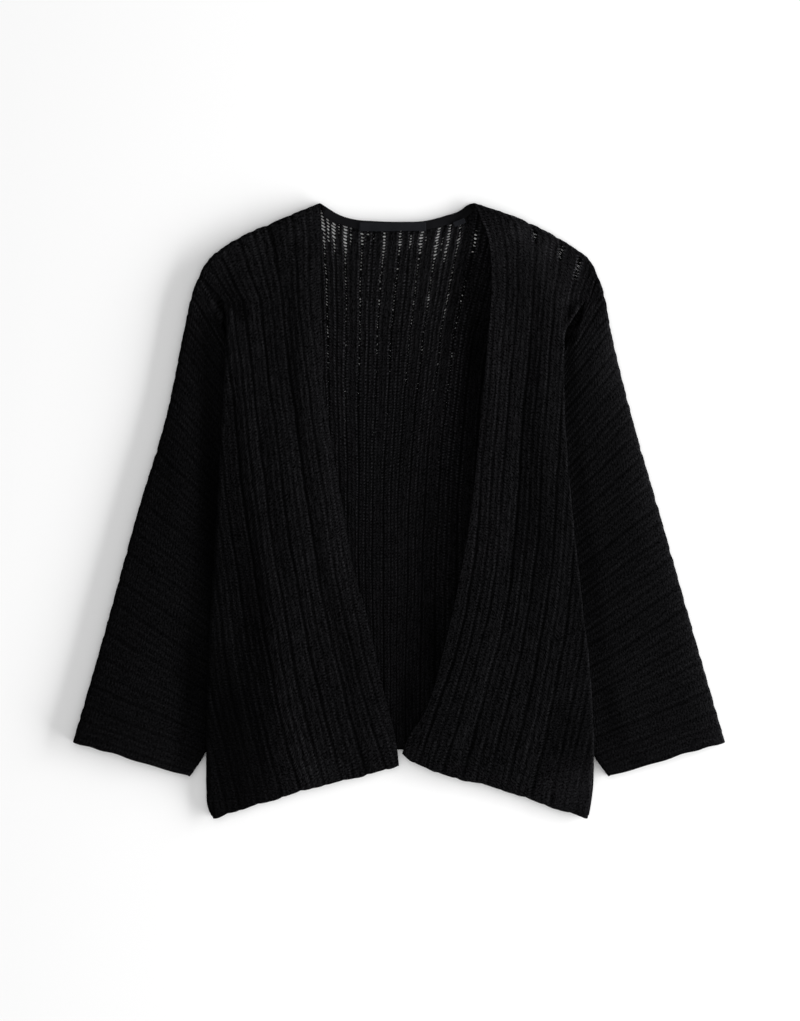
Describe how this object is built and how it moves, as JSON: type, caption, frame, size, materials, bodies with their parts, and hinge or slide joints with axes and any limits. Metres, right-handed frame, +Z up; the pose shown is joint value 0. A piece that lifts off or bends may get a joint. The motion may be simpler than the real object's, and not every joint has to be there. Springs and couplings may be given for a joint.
{
  "type": "open-front ribbed knit cardigan",
  "caption": "Black open-front rib-knit cardigan with dolman sleeves, laid flat on its back, with a back neck tape and bare label.",
  "frame": {"origin": "under the middle of the whole cardigan's box, on the surface that it lies on", "axes": "+X across the cardigan towards the wearer's left sleeve, +Y from the hem to the neck, +Z up from the surface"},
  "size_m": [0.7172, 0.6768, 0.0187],
  "materials": {
    "rib_knit": "matt black ribbed knit with openwork columns",
    "neck_tape": "plain black woven tape",
    "woven_label": "dark grey satin-woven label, bare"
  },
  "bodies": {
    "root": {"back": "rib_knit", "right_front": "rib_knit", "left_front": "rib_knit", "neck_tape": "neck_tape", "neck_label": "woven_label", "side_tab": "woven_label"}
  },
  "joints": []
}
